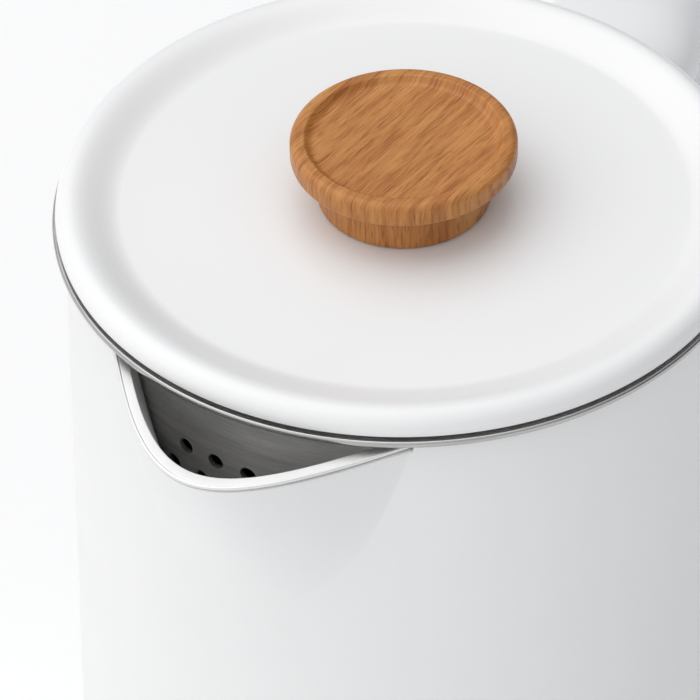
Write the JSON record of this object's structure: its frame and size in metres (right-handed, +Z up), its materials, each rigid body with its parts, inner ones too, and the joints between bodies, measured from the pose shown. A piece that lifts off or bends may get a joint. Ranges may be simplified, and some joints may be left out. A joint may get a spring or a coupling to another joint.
{
  "type": "electric jug kettle",
  "caption": "Cordless white jug kettle on a round power base, with a steel-lipped beak spout, a loop handle, an on/off lever and a lift-off lid with a round wood-look knob.",
  "frame": {"origin": "on the jug's axis, on the plane that the power base stands on", "axes": "+Z up along the jug's axis, -Y towards the spout, +Y towards the handle, +X to the side"},
  "size_m": [0.156, 0.2319, 0.2129],
  "materials": {
    "white_plastic": "satin white moulded plastic",
    "steel_trim": "brushed stainless steel",
    "vessel_steel": "brushed stainless steel, dark inside the beak",
    "wood_print": "plastic with a satin wood-grain print",
    "black_plastic": "matt black moulded plastic",
    "brass": "bare brass",
    "aluminium": "bare aluminium",
    "element_steel": "heat-tinted steel tube",
    "screw_steel": "bright zinc plating",
    "silicone": "translucent white silicone",
    "rubber": "matt dark rubber"
  },
  "bodies": {
    "power_base": {"base_cover": "white_plastic", "base_plate": "white_plastic", "base_coupler": "black_plastic", "cord_gland": "black_plastic", "base_contact_outer": "brass", "base_contact_inner": "brass", "base_centre_pad": "rubber", "base_foot_1": "rubber", "base_foot_2": "rubber", "base_foot_3": "rubber", "base_foot_4": "rubber", "base_screw_1": "screw_steel", "base_screw_2": "screw_steel", "base_screw_3": "screw_steel"},
    "jug": {"outer_shell": "white_plastic", "handle_shell": "white_plastic", "handle_inner_cover": "white_plastic", "bottom_cover": "black_plastic", "control_unit": "black_plastic", "jug_coupler": "black_plastic", "jug_contact_outer": "brass", "jug_contact_inner": "brass", "handle_screw_upper": "screw_steel", "handle_screw_lower": "screw_steel", "bottom_screw_1": "screw_steel", "bottom_screw_2": "screw_steel", "bottom_screw_3": "screw_steel", "earth_pin": "screw_steel", "switch_pivot_pin": "screw_steel", "element_terminal_1": "screw_steel", "element_terminal_2": "screw_steel", "rim_ring": "steel_trim", "spout_funnel": "steel_trim", "inner_vessel": "vessel_steel", "heater_plate": "aluminium", "heating_element": "element_steel", "steam_tube": "silicone"},
    "switch_lever": {"switch_lever": "white_plastic"},
    "lid": {"lid_cover": "white_plastic", "lid_insert": "steel_trim", "lid_seal": "silicone", "knob": "wood_print", "knob_washer": "screw_steel", "knob_screw": "screw_steel"}
  },
  "joints": [
    {"name": "jug_lift", "type": "slide", "parent": "power_base", "child": "jug", "axis": [0, 0, 1], "range_m": [0, 0.06]},
    {"name": "switch_press", "type": "hinge", "parent": "jug", "child": "switch_lever", "pos_m": [0, 0.0665, 0.026], "axis": [-1, 0, 0], "range_deg": [0, 12]},
    {"name": "lid_lift", "type": "slide", "parent": "jug", "child": "lid", "axis": [0, 0, 1], "range_m": [0, 0.06]}
  ]
}
